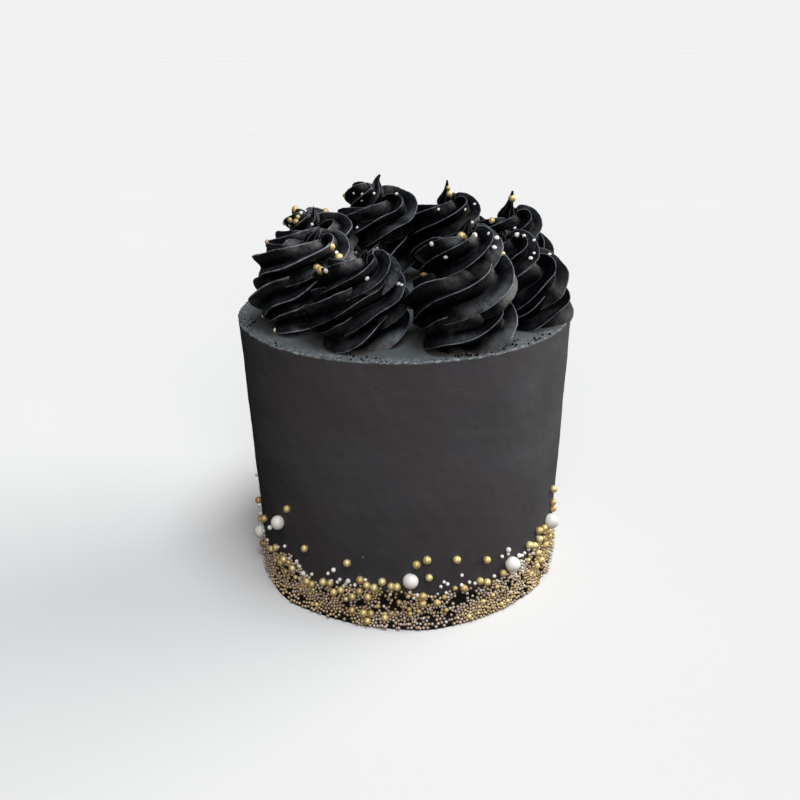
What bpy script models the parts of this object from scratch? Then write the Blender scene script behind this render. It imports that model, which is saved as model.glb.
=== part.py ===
"""A tall black buttercream cake with eight piped swirls on top and a band of sugar beads round its foot.

Sizes are in millimetres and become metres when a mesh is made. The origin is at the bottom centre,
+Z is up and the side that the photo shows faces -Y. Angles are in degrees, anticlockwise from +X.
"""

import math

import bmesh
import bpy
import numpy as np
from mathutils import Vector
from mathutils.bvhtree import BVHTree

MM = 0.001

# The iced body: a drum that widens a little upwards, with a crisp top edge.
CAKE_HEIGHT = 138.0
BOTTOM_RADIUS = 80.3
TOP_RADIUS = 83.6
EDGE_BEVEL = 0.9
BODY_SEGMENTS = 80

# The bank of sprinkles piled against the foot of the wall. Its reach from the wall goes by the
# angle round the side that the photo shows, and a layer of the smallest beads lies over it.
BANK_HEIGHT = 8.0
BAND_ANGLES = (-180, -156, -145, -134, -129, -115, -93, -84, -72, -64, -54, -42, -30, -18, 0)
BAND_REACHES = (1.6, 2.2, 4.6, 5.4, 4.4, 3.2, 3.6, 4.4, 3.4, 3.0, 2.6, 3.0, 2.0, 1.6, 1.6)
BANK_LAYER = 2.5

# One piped swirl: a rope from a star nozzle, laid in a shrinking coil and pulled up to a point.
# Each column holds one stage of the coil: turns, then heights as shares of the swirl's height,
# and the coil's and rope's radii as shares of its base radius.
COIL_TURNS = (0.0, 0.25, 0.5, 0.75, 1.0, 1.25, 1.5, 1.75, 2.0, 2.25, 2.5, 2.7, 2.85, 3.0)
COIL_HEIGHT = (0.11, 0.11, 0.13, 0.21, 0.33, 0.41, 0.49, 0.565, 0.63, 0.695, 0.76, 0.81, 0.86, 0.90)
COIL_RADIUS = (0.57, 0.54, 0.54, 0.54, 0.53, 0.53, 0.52, 0.49, 0.43, 0.34, 0.22, 0.11, 0.04, 0.0)
ROPE_RADIUS = (0.43, 0.47, 0.47, 0.46, 0.45, 0.44, 0.43, 0.42, 0.41, 0.39, 0.33, 0.21, 0.09, 0.02)
PEAK_START = 2.7
ROPE_END_TURN = 0.12
RIDGES = 6
FLUTE_DEPTH = 0.46
RIDGE_TWIST = 0.90
RIDGE_WANDER = 0.14
LEAN_START = 0.32

ROPE_STEPS = 300
ROPE_POINTS = 128
SKIN_AROUND = 84
FAR = 120.0
CORE_SHARE = 0.35
SKIN_UP = 40
SWIRL_FACES = 740
REST_GAP = 0.3
NEIGHBOUR_GAP = 0.2

# Name, centre, tip, base radius, height, the angle at which the rope starts, how broad the upper
# turns stay (the share added to the coil radius there), the last thin peak: how far it stands up
# and how far it curls to the side, and how sharply its flutes cut in beside a crest.
SWIRLS = (
    ("swirl_front_right", (24.3, -53.0), (28.5, -47.5), 26.2, 55.0, -165.0, -0.04, 3.0, (1.0, 0.0), 0.75),
    ("swirl_front_left", (-22.5, -48.5), (-15.0, -49.0), 24.9, 42.0, -155.0, 0.05, 2.0, (-1.0, 0.0), 0.75),
    ("swirl_left_front", (-50.5, -25.5), (-37.5, -22.0), 24.3, 47.0, -140.0, 0.62, 2.0, (0.5, 0.0), 1.15),
    ("swirl_left_back", (-48.5, 24.5), (-46.0, 24.5), 24.0, 49.0, 0.0, 0.42, 2.0, (1.0, 0.0), 1.00),
    ("swirl_back_left", (-15.5, 54.0), (-14.5, 54.0), 26.2, 60.0, 10.0, 0.32, 3.5, (3.0, 0.0), 0.90),
    ("swirl_back_right", (25.5, 52.0), (25.0, 52.0), 24.6, 52.0, -135.0, 0.28, 7.5, (-0.5, 0.0), 0.80),
    ("swirl_right_back", (56.0, 20.5), (55.5, 20.5), 23.6, 50.0, -120.0, 0.00, 8.0, (0.5, 0.0), 0.80),
    ("swirl_right_front", (56.4, -22.3), (44.5, -17.0), 25.2, 43.0, -130.0, -0.32, 1.5, (0.0, 0.0), 0.75),
)

# Sugar beads, largest first: diameter, and how finely the ball is divided.
BEADS = {
    "pearl": (8.0, 2),
    "gold": (4.0, 1),
    "white": (2.9, 1),
    "small_gold": (2.7, 1),
    "small_white": (2.1, 1),
    "nonpareil": (2.2, 1),
}
SUNK = 0.22
SUNK_ON_SWIRL = 0.34

# Pearls and gold beads read off the photo's side of the wall: angle and height. The far side takes
# the same beads turned half round, since nothing there is seen.
WALL_PEARLS = ((-169, 15.6), (-141, 43.0), (-90, 28.6), (-53, 25.4), (-28, 32.6))
WALL_GOLDS = (
    (-135, 53.3), (-128, 35.5), (-111, 34.8), (-88, 37.0), (-80, 40.0), (-72, 36.0),
    (-63, 32.6), (-97, 22.0), (-159, 43.1), (-159, 35.0), (-176, 26.0), (-147, 22.9),
    (-26, 49.9), (-21, 42.0), (-33, 24.0), (-43, 31.0), (-20, 23.0), (-119, 23.0),
)
NONPAREIL_ROWS = ((3.2, 24), (9.5, 20), (14.5, 14), (19.5, 8))
SEED = 7

# Beads on the swirls as the photo shows them: kind, angle and steepness seen from the swirl's foot.
SWIRL_BEADS = {
    "swirl_front_right": (
        ("gold", -173, 61), ("gold", 146, 86), ("small_gold", 52, 84), ("white", 178, 73),
        ("white", -126, 71), ("white", -7, 82), ("white", 7, 71), ("white", -20, 67),
        ("small_white", 46, 80), ("small_white", -9, 76),
    ),
    "swirl_front_left": (
        ("white", -153, 68), ("white", -71, 59), ("white", -23, 51), ("white", 22, 74),
        ("white", 60, 84), ("small_white", -3, 46),
    ),
    "swirl_left_front": (
        ("gold", -21, 64), ("gold", -5, 56), ("gold", -57, 59), ("gold", -45, 56),
        ("white", -14, 60), ("white", -129, 9),
    ),
    "swirl_left_back": (
        ("gold", 28, 76), ("gold", -142, 71), ("gold", -122, 74), ("small_gold", 10, 80),
        ("small_gold", -163, 79), ("white", -171, 67), ("white", -150, 64),
        ("small_white", -83, 70), ("small_white", 140, 84), ("small_white", -125, 84),
    ),
    "swirl_back_left": (
        ("small_white", -117, 58), ("small_white", -112, 69), ("small_white", -171, 80),
        ("small_white", -135, 76), ("small_white", -92, 82), ("small_white", -13, 74),
    ),
    "swirl_back_right": (
        ("gold", -89, 84), ("small_gold", -60, 88), ("small_white", -112, 68),
        ("small_white", -63, 66), ("small_white", -17, 71),
    ),
    "swirl_right_back": (
        ("gold", -131, 85), ("gold", -141, 68), ("small_white", -95, 67), ("small_white", -118, 74),
    ),
    "swirl_right_front": (
        ("white", 129, 80), ("white", -77, 69), ("white", -90, 60), ("white", -18, 66),
        ("small_gold", -131, 62), ("small_white", 81, 84), ("small_white", -50, 79),
    ),
}


def smooth_curve(at, knots, values):
    """Cubic pieces through the knots whose slope at a knot is the mean slope of its neighbours."""
    knots = np.asarray(knots, float)
    values = np.asarray(values, float)
    slopes = np.gradient(values, knots)
    piece = np.clip(np.searchsorted(knots, at, side="right") - 1, 0, len(knots) - 2)
    width = knots[piece + 1] - knots[piece]
    share = np.clip((at - knots[piece]) / width, 0.0, 1.0)
    start, end = values[piece], values[piece + 1]
    rise = share * share * (3 - 2 * share)
    lead_in = share * (1 - share) ** 2 * width * slopes[piece]
    lead_out = share * share * (share - 1) * width * slopes[piece + 1]
    return start + (end - start) * rise + lead_in + lead_out


def ripple(points, size, seed, waves=24):
    """A smooth random height for each point, mostly within -1 and 1.

    It is a sum of cosine waves in random directions, each 0.7 to 1.5 times the given size long.
    """
    draw = np.random.default_rng(seed)
    ways = draw.normal(size=(waves, 3))
    ways /= np.linalg.norm(ways, axis=1, keepdims=True)
    ways *= 2 * math.pi / (size * draw.uniform(0.7, 1.5, (waves, 1)))
    phases = draw.uniform(0, 2 * math.pi, waves)
    return np.cos(points @ ways.T + phases).sum(axis=-1) * math.sqrt(1 / waves)


def section(turned, outward, over):
    """Unit ways out from the rope's middle, at each angle of its section."""
    level = np.cos(turned)[..., None] * outward[:, None, :]
    return level + np.sin(turned)[..., None] * over[:, None, :]


def rope_grid(swirl, seed):
    """Points of the rope's skin, one row for each step along it, and the rope's end, about its foot.

    The middle line is a coil that climbs as it shrinks and ends in a thin peak. The section is a
    star: from each crest its radius falls by the flute's depth, as a sine to a power. It turns
    steadily along the rope, and the ridges wander and swell a little.
    """
    _, centre, tip, base_radius, height, start_angle, shoulder, peak, curl, cut = swirl
    turns = np.linspace(0.0, COIL_TURNS[-1], ROPE_STEPS)
    angle = math.radians(start_angle) + 2 * math.pi * turns
    radius = np.maximum(smooth_curve(turns, COIL_TURNS, COIL_RADIUS), 0.0)
    broad = np.clip((turns - 1.2) / 0.9, 0, 1) * np.clip((2.85 - turns) / 0.6, 0, 1)
    radius = base_radius * radius * (1 + shoulder * broad)
    up = height * smooth_curve(turns, COIL_TURNS, COIL_HEIGHT)
    thick = base_radius * smooth_curve(turns, COIL_TURNS, ROPE_RADIUS)
    thick = thick * np.sqrt(np.clip(turns / ROPE_END_TURN, 0.02, 1.0))
    path = np.stack([radius * np.cos(angle), radius * np.sin(angle), up], axis=1)
    lean = np.subtract(tip, centre)
    path[:, :2] += np.outer(np.clip(up / height - LEAN_START, 0, 1) / (1 - LEAN_START), lean)
    last = np.clip((turns - PEAK_START) / (COIL_TURNS[-1] - PEAK_START), 0, 1)
    path[:, 2] += peak * last**1.5
    path[:, :2] += np.outer(last**4, curl)

    along = np.gradient(path, axis=0)
    along /= np.linalg.norm(along, axis=1, keepdims=True)
    outward = np.stack([np.cos(angle), np.sin(angle), 0 * angle], axis=1)
    outward -= along * np.sum(outward * along, axis=1, keepdims=True)
    outward /= np.linalg.norm(outward, axis=1, keepdims=True)
    over = np.cross(outward, along)

    around = 2 * math.pi * np.arange(ROPE_POINTS) / ROPE_POINTS
    share = np.mod(RIDGES * around / (2 * math.pi), 1.0)
    from_ridge = 2 * np.minimum(share, 1 - share)
    fall = np.sin(0.5 * math.pi * from_ridge) ** cut
    turned = around[None, :] + RIDGE_TWIST * 2 * math.pi * turns[:, None]
    outer = path[:, None, :] + thick[:, None, None] * section(turned, outward, over)
    swell = 1 + 0.03 * ripple(outer, 16.0, seed)
    depth = FLUTE_DEPTH * (1 + 0.2 * ripple(outer, 24.0, seed + 2))
    wander = RIDGE_WANDER * ripple(outer, 32.0, seed + 3)
    reach = thick[:, None] * (swell - depth * fall[None, :])
    grid = path[:, None, :] + reach[..., None] * section(turned + wander, outward, over)
    return grid, path[-1] + (0, 0, thick[-1])


def tree_of_grid(grid):
    """A search tree of a grid of points whose rows close on themselves."""
    rows, columns = grid.shape[:2]
    row = np.arange(rows - 1)[:, None] * columns
    this = np.arange(columns)[None, :]
    following = (this + 1) % columns
    quads = np.stack(
        [row + this, row + following, row + columns + following, row + columns + this], axis=-1
    )
    points = [Vector(point) for point in grid.reshape(-1, 3)]
    return BVHTree.FromPolygons(points, quads.reshape(-1, 4).tolist())


def outermost(tree, direction, core):
    """How far the rope reaches from the swirl's base centre in one direction, and not under the core."""
    place, _, _, _ = tree.ray_cast(direction * FAR, -direction, FAR)
    return core if place is None else max(place.length, core)


def neighbour_planes(swirl):
    """For each neighbour, the way to it and how far off the plane midway between the two lies."""
    planes = []
    for other in SWIRLS:
        if other[0] != swirl[0]:
            apart = Vector((*other[1], 0)) - Vector((*swirl[1], 0))
            share = swirl[3] / (swirl[3] + other[3])
            planes.append((apart.normalized(), apart.length * share - NEIGHBOUR_GAP))
    return planes


def room_beside(planes, direction):
    """How far a swirl may reach in one direction before it meets the plane midway to a neighbour."""
    return min(off / max(way.dot(direction), 1e-6) for way, off in planes)


def clear_of_neighbours(planes, centre, radius):
    """A ball's centre, moved back where the ball would cross a plane midway to a neighbour."""
    for way, off in planes:
        centre = centre - way * max(way.dot(centre) + radius - off, 0.0)
    return centre


def skin_of_swirl(swirl, tree, tip):
    """The swirl's skin seen from its base centre, as points and faces, closed by a flat base.

    The rows of points climb from the base plane to the tip, which may stand to one side.
    """
    tip = Vector(tip)
    core = CORE_SHARE * swirl[3]
    planes = neighbour_planes(swirl)
    points = []
    for row in range(SKIN_UP):
        elevation = 0.5 * math.pi * row / SKIN_UP
        for column in range(SKIN_AROUND):
            azimuth = 2 * math.pi * column / SKIN_AROUND
            level = Vector((math.cos(azimuth), math.sin(azimuth), 0))
            direction = math.cos(elevation) * level + math.sin(elevation) * tip.normalized()
            direction.normalize()
            reach = outermost(tree, direction, core)
            points.append(direction * min(reach, room_beside(planes, direction)))
    top = len(points)
    points.append(tip)
    points.append(Vector((0, 0, 0)))
    faces = []
    for row in range(SKIN_UP - 1):
        for column in range(SKIN_AROUND):
            beside = (column + 1) % SKIN_AROUND
            lower, upper = row * SKIN_AROUND, (row + 1) * SKIN_AROUND
            faces.append((lower + column, lower + beside, upper + beside, upper + column))
    last = (SKIN_UP - 1) * SKIN_AROUND
    for column in range(SKIN_AROUND):
        beside = (column + 1) % SKIN_AROUND
        faces.append((last + column, last + beside, top))
        faces.append((beside, column, top + 1))
    return points, faces


def mesh_object(name, points, faces, offset=(0, 0, 0)):
    """An object in metres from points in millimetres."""
    mesh = bpy.data.meshes.new(name)
    moved = [tuple((Vector(point) + Vector(offset)) * MM) for point in points]
    mesh.from_pydata(moved, [], faces)
    mesh.validate()
    made = bpy.data.objects.new(name, mesh)
    bpy.context.scene.collection.objects.link(made)
    return made


def apply_modifiers(made):
    """Replaces an object's mesh by what its modifiers make of it."""
    bpy.context.view_layer.update()
    graph = bpy.context.evaluated_depsgraph_get()
    mesh = bpy.data.meshes.new_from_object(made.evaluated_get(graph))
    made.modifiers.clear()
    made.data = mesh


def bead_mesh(kind):
    """The ball of triangles that all beads of one kind share, made once."""
    found = bpy.data.meshes.get(kind)
    if found:
        return found
    diameter, divisions = BEADS[kind]
    shape = bmesh.new()
    bmesh.ops.create_icosphere(shape, subdivisions=divisions, radius=0.5 * diameter * MM)
    mesh = bpy.data.meshes.new(kind)
    shape.to_mesh(mesh)
    shape.free()
    return mesh


def fuse(made, beads):
    """Joins the beads to the object as one solid. Each bead is its kind, centre and turn."""
    group = bpy.data.collections.new("beads")
    bpy.context.scene.collection.children.link(group)
    for kind, centre, turn in beads:
        bead = bpy.data.objects.new("bead", bead_mesh(kind))
        bead.location = Vector(centre) * MM
        bead.rotation_euler = (turn, 0.7 * turn, 1.3 * turn)
        group.objects.link(bead)
    union = made.modifiers.new("union", "BOOLEAN")
    union.operation = "UNION"
    union.solver = "EXACT"
    union.operand_type = "COLLECTION"
    union.collection = group
    apply_modifiers(made)
    for bead in list(group.objects):
        bpy.data.objects.remove(bead)
    bpy.data.collections.remove(group)
    keep_largest_piece(made)


def keep_largest_piece(made):
    """Drops loose scrap, and the skins of hollows that fusing sealed, so that one solid is left."""
    shape = bmesh.new()
    shape.from_mesh(made.data)
    unseen = set(shape.faces)
    pieces = []
    while unseen:
        piece = {unseen.pop()}
        rim = set(piece)
        while rim:
            edges = {edge for face in rim for edge in face.edges if len(edge.link_faces) == 2}
            rim = {face for edge in edges for face in edge.link_faces} - piece
            piece |= rim
        unseen -= piece
        pieces.append(piece)
    pieces.sort(key=len)
    for piece in pieces[:-1]:
        bmesh.ops.delete(shape, geom=list(piece), context="FACES")
    shape.to_mesh(made.data)
    shape.free()


def wall_radius(height):
    return BOTTOM_RADIUS + (TOP_RADIUS - BOTTOM_RADIUS) * height / CAKE_HEIGHT


def bank_reach(angle):
    """How far the bank reaches at an angle in degrees. The far half repeats the near one."""
    near = math.fmod(math.fmod(angle, 180) + 180, 180) - 180
    return float(smooth_curve(near, BAND_ANGLES, BAND_REACHES)) + BANK_LAYER


def body_profile(angle):
    """Radius and height of the body's outline from the bottom up, at an angle in degrees."""
    reach = bank_reach(angle)
    return (
        (BOTTOM_RADIUS + reach, 0.0),
        (BOTTOM_RADIUS + reach, 0.18 * BANK_HEIGHT),
        (BOTTOM_RADIUS + 0.5 * reach, 0.55 * BANK_HEIGHT),
        (wall_radius(BANK_HEIGHT), BANK_HEIGHT),
        (TOP_RADIUS, CAKE_HEIGHT - EDGE_BEVEL),
        (TOP_RADIUS - EDGE_BEVEL, CAKE_HEIGHT),
    )


def make_body():
    angles = [360 * step / BODY_SEGMENTS for step in range(BODY_SEGMENTS)]
    rows = list(zip(*(body_profile(angle) for angle in angles)))
    points = []
    for row in rows:
        for angle, (radius, height) in zip(angles, row):
            turn = math.radians(angle)
            points.append((radius * math.cos(turn), radius * math.sin(turn), height))
    faces = []
    for row in range(len(rows) - 1):
        for step in range(BODY_SEGMENTS):
            beside = (step + 1) % BODY_SEGMENTS
            lower, upper = row * BODY_SEGMENTS, (row + 1) * BODY_SEGMENTS
            faces.append((lower + step, lower + beside, upper + beside, upper + step))
    faces.append(tuple(reversed(range(BODY_SEGMENTS))))
    last = (len(rows) - 1) * BODY_SEGMENTS
    faces.append(tuple(range(last, last + BODY_SEGMENTS)))
    return mesh_object("cake", points, faces)


def on_wall(kind, angle, height):
    """The centre of a bead pressed into the wall, or into the bank at its foot."""
    radius = wall_radius(height) + bank_out(angle, height) + (0.5 - SUNK) * BEADS[kind][0]
    turn = math.radians(angle)
    return (radius * math.cos(turn), radius * math.sin(turn), height)


def bank_out(angle, height):
    """How far the bank stands out from the wall at an angle and a height."""
    profile = body_profile(angle)[:4]
    heights = [point[1] for point in profile]
    radii = [point[0] for point in profile]
    return max(float(np.interp(height, heights, radii)) - wall_radius(height), 0.0)


def wall_beads():
    """Pearls, then gold beads, then nonpareils in rings, each spaced evenly but for a seeded shift."""
    draw = np.random.default_rng(SEED)
    beads = []
    for kind, places in (("pearl", WALL_PEARLS), ("gold", WALL_GOLDS)):
        for angle, height in places:
            for turned in (0, 180):
                beads.append((kind, on_wall(kind, angle + turned, height), draw.uniform(0, 3)))
    for row_height, count in NONPAREIL_ROWS:
        for step in range(count):
            angle = 360 * (step + 0.3 * draw.uniform(-1, 1)) / count
            height = row_height + draw.uniform(-1.5, 1.5)
            beads.append(("nonpareil", on_wall("nonpareil", angle, height), draw.uniform(0, 3)))
    return beads


def swirl_beads(made, swirl):
    """The beads that lie on one swirl, each pressed in where a line from the swirl's foot leaves it."""
    draw = np.random.default_rng(SEED)
    foot = Vector((*swirl[1], CAKE_HEIGHT + REST_GAP))
    points = [vertex.co / MM for vertex in made.data.vertices]
    tree = BVHTree.FromPolygons(points, [tuple(face.vertices) for face in made.data.polygons])
    planes = neighbour_planes(swirl)
    beads = []
    for kind, angle, steepness in SWIRL_BEADS[swirl[0]]:
        turn, tilt = math.radians(angle), math.radians(steepness)
        direction = Vector(
            (math.cos(tilt) * math.cos(turn), math.cos(tilt) * math.sin(turn), math.sin(tilt))
        )
        place, normal, _, _ = tree.ray_cast(foot + FAR * direction, -direction, FAR)
        if place is not None:
            diameter = BEADS[kind][0]
            centre = place - foot + normal * (0.5 - SUNK_ON_SWIRL) * diameter
            centre = foot + clear_of_neighbours(planes, centre, 0.5 * diameter)
            beads.append((kind, centre, draw.uniform(0, 3)))
    return beads


def make_swirl(number, swirl):
    grid, tip = rope_grid(swirl, 40 + 5 * number)
    points, faces = skin_of_swirl(swirl, tree_of_grid(grid), tip)
    made = mesh_object(swirl[0], points, faces, (*swirl[1], CAKE_HEIGHT + REST_GAP))
    fewer = made.modifiers.new("fewer", "DECIMATE")
    fewer.ratio = SWIRL_FACES / (2 * SKIN_AROUND * (SKIN_UP + 1))
    apply_modifiers(made)
    fuse(made, swirl_beads(made, swirl))
    return made


def material(name, colour, roughness):
    made = bpy.data.materials.new(name)
    made.use_nodes = True
    shader = made.node_tree.nodes["Principled BSDF"]
    shader.inputs["Base Color"].default_value = (*colour, 1.0)
    shader.inputs["Roughness"].default_value = roughness
    return made


def finish(made, surface, sharp_degrees):
    made.data.materials.clear()
    made.data.materials.append(surface)
    made.data.shade_smooth()
    made.data.set_sharp_from_angle(angle=math.radians(sharp_degrees))


def main():
    for old in list(bpy.data.objects):
        bpy.data.objects.remove(old)
    icing = material("matte black buttercream", (0.033, 0.034, 0.037), 0.75)
    piping = material("piped black buttercream", (0.020, 0.021, 0.024), 0.45)
    body = make_body()
    fuse(body, wall_beads())
    finish(body, icing, 35)
    for number, swirl in enumerate(SWIRLS):
        finish(make_swirl(number, swirl), piping, 35)


main()
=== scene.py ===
"""The looks of a tall black buttercream cake: smoothed coat, piped swirls and sugar beads.

Sizes are in millimetres and become metres when a mesh is made. Angles are in degrees,
anticlockwise from +X, and the side that the picture shows faces -Y.
"""

import math

import bmesh
import bpy
import numpy as np
from mathutils import Matrix, Vector
from mathutils.bvhtree import BVHTree


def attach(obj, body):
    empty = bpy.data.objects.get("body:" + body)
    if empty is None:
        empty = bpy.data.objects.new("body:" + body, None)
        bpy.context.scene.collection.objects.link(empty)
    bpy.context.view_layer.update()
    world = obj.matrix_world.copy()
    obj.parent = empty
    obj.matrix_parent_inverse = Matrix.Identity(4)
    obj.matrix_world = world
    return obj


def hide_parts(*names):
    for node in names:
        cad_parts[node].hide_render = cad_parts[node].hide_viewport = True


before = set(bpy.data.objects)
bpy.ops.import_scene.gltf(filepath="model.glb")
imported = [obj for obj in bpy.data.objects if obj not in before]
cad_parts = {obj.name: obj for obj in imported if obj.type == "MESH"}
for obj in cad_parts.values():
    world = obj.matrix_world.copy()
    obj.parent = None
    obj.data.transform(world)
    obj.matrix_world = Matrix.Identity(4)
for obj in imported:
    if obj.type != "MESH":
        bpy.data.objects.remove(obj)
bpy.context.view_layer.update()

MM = 0.001

# The smoothed coat. The rows of its outline lie closer below the rim and inside it.
CAKE_HEIGHT = 138.0
BOTTOM_RADIUS = 80.3
TOP_RADIUS = 83.6
RIM_ROUNDING = 0.9
LIP_HEIGHT = 0.45
LIP_WIDTH = 1.6
TOP_SUNK = 0.25
CLOSE_ROWS_BELOW = 4.0
CLOSE_ROWS_INSIDE = 6.0
COAT_AROUND = 480

# Ripples, each with its height, length and seed. The chips' heights are shares of the lip's.
WALL_WAVES = ((0.16, 30.0, 11), (0.05, 7.0, 12))
RIM_CHIPS = ((1.0, 3.2, 13), (0.7, 8.0, 14))
LIP_WAVES = ((0.16, 2.4, 15),)
TOP_ROLL = ((0.18, 16.0, 16),)

# How far in from the rim the top is paler, and how fast the painted shade at the foot, nearly
# black between the sprinkles, fades out above them. A weaker painted shade, darker towards the
# bottom, has its own share, is full at one height and ends at another.
PALER_RIM_WIDTH = 5.0
FOOT_SHADE_FADE = 4.0
DARKER_SHARE = 0.3
DARKER_FULL = 25.0
DARKER_END = 85.0

# The crumbs of icing on the top: how many are tried, how far in from the rim they start, and how
# wide their belt is.
CRUMBS = 420
CRUMB_EDGE = 0.8
CRUMB_BELT = 7.0

# The bank of sprinkles against the foot of the wall, and how far its icing lies behind its beads.
BANK_HEIGHT = 8.0
BANK_SUNK = 0.9

# One piped swirl, from a star nozzle. Each column is one stage of the coil: turns, then heights
# as shares of the swirl's height, and the coil's and rope's radii as shares of its base radius.
COIL_TURNS = (0.0, 0.25, 0.5, 0.75, 1.0, 1.25, 1.5, 1.75, 2.0, 2.25, 2.5, 2.7, 2.85, 3.0)
COIL_HEIGHT = (0.11, 0.11, 0.13, 0.21, 0.33, 0.41, 0.49, 0.565, 0.63, 0.695, 0.76, 0.81, 0.86, 0.90)
COIL_RADIUS = (0.57, 0.54, 0.54, 0.54, 0.53, 0.53, 0.52, 0.49, 0.43, 0.34, 0.22, 0.11, 0.04, 0.0)
ROPE_RADIUS = (0.43, 0.47, 0.47, 0.46, 0.45, 0.44, 0.43, 0.42, 0.41, 0.39, 0.33, 0.21, 0.09, 0.02)

# The turns between which the upper coils are broader, and over how many that comes and goes.
BROAD_FROM = 1.2
BROAD_RISE = 0.9
BROAD_FALL = 0.6
BROAD_TO = 2.85

# The turn at which the peak starts, how soon the rope's first end is full, and its star section.
PEAK_START = 2.7
ROPE_END_TURN = 0.12
RIDGES = 6
FLUTE_DEPTH = 0.46
RIDGE_TWIST = 0.90
CREST_ROUNDING = 0.03
CREST_CROWDING = 0.6
RIDGE_WANDER = 0.14
LEAN_START = 0.32
ROPE_STEPS = 400
POINTS_PER_RIDGE = 20
PRESSED_IN = 0.4
REST_GAP = 0.3

# Name, centre, tip, base radius, height, the angle at which the rope starts, how broad the upper
# turns stay (the share added to the coil radius there), the last thin peak: how far it stands up
# and how far it curls to the side, and how sharply its flutes cut in beside a crest.
SWIRLS = (
    ("swirl_front_right", (24.3, -53.0), (28.5, -47.5), 26.2, 55.0, -165.0, -0.04, 3.0, (1.0, 0.0), 0.75),
    ("swirl_front_left", (-22.5, -48.5), (-15.0, -49.0), 24.9, 42.0, -155.0, 0.05, 2.0, (-1.0, 0.0), 0.75),
    ("swirl_left_front", (-50.5, -25.5), (-37.5, -22.0), 24.3, 47.0, -140.0, 0.62, 2.0, (0.5, 0.0), 1.15),
    ("swirl_left_back", (-48.5, 24.5), (-46.0, 24.5), 24.0, 49.0, 0.0, 0.42, 2.0, (1.0, 0.0), 1.00),
    ("swirl_back_left", (-15.5, 54.0), (-14.5, 54.0), 26.2, 60.0, 10.0, 0.32, 3.5, (3.0, 0.0), 0.90),
    ("swirl_back_right", (25.5, 52.0), (25.0, 52.0), 24.6, 52.0, -135.0, 0.28, 7.5, (-0.5, 0.0), 0.80),
    ("swirl_right_back", (56.0, 20.5), (55.5, 20.5), 23.6, 50.0, -120.0, 0.00, 8.0, (0.5, 0.0), 0.80),
    ("swirl_right_front", (56.4, -22.3), (44.5, -17.0), 25.2, 43.0, -130.0, -0.32, 1.5, (0.0, 0.0), 0.75),
)

# How much sheen each swirl's skin has: a higher one shines more and gets more grey painted on as
# sheen, a lower one stays black.
SWIRL_SHEEN = {
    "swirl_front_right": 0.85, "swirl_front_left": 1.35, "swirl_left_front": 1.25,
    "swirl_left_back": 0.9, "swirl_back_left": 0.75, "swirl_back_right": 0.2,
    "swirl_right_back": 0.25, "swirl_right_front": 0.15,
}

# Sugar beads: diameter, how finely the ball is divided and the share sunk in what it lies on.
BEADS = {
    "pearl": (7.7, 4, 0.22),
    "gold": (4.0, 3, 0.22),
    "small_gold": (2.7, 3, 0.22),
    "white": (2.6, 3, 0.22),
    "small_white": (1.9, 2, 0.22),
    "nonpareil": (1.8, 2, 0.25),
}
SUNK_ON_SWIRL = 0.30

# The band of sprinkles at angles round the side that shows: how high it climbs, how far its
# bank reaches from the wall, and what share of its upper part is left bare.
BAND_ANGLES = (-180, -156, -145, -134, -129, -115, -93, -84, -72, -64, -54, -42, -30, -18, 0)
BAND_TOPS = (17.0, 17.5, 21.0, 25.0, 18.0, 20.5, 21.5, 19.0, 19.5, 17.5, 18.5, 22.5, 27.0, 22.0, 17.0)
BAND_REACHES = (1.6, 2.2, 4.6, 5.4, 4.4, 3.2, 3.6, 4.4, 3.4, 3.0, 2.6, 3.0, 2.0, 1.6, 1.6)
BAND_BARE = (0.4, 0.3, 0.2, 0.2, 0.25, 0.3, 0.4, 0.45, 0.4, 0.35, 0.3, 0.3, 0.2, 0.3, 0.4)

# Beads in the band that are placed at random: kind, how many, and the least and greatest height
# as shares of the band's.
STRAY_BEADS = (("small_gold", 40, 0.1, 1.0), ("small_white", 50, 0.8, 1.2))

# The nonpareils: how many are tried, how strongly they gather at the foot, how close they may lie
# to each other and to the larger beads as shares of their diameter, the share of an overlap that
# one round of pushing takes away, the longest push in a round, and how many rounds there are.
NONPAREILS = 2900
GATHERED = 1.15
SPACING = 0.93
SPACING_BESIDE = 0.35
PUSH_SHARE = 0.42
LONGEST_PUSH = 0.6
SETTLING_ROUNDS = 20

# More of them lie on top of the others: how many, below what share of the band's height, how far
# round in degrees, and how far up and out as shares of their diameter.
PERCHED = 230
PERCHED_BELOW = 0.6
PERCHED_ROUND = 0.6
PERCHED_UP = 0.4
PERCHED_OUT = 0.65

# The least height of a bead's middle, as a share of its diameter.
LOWEST = 0.55
SEED = 7

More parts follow.
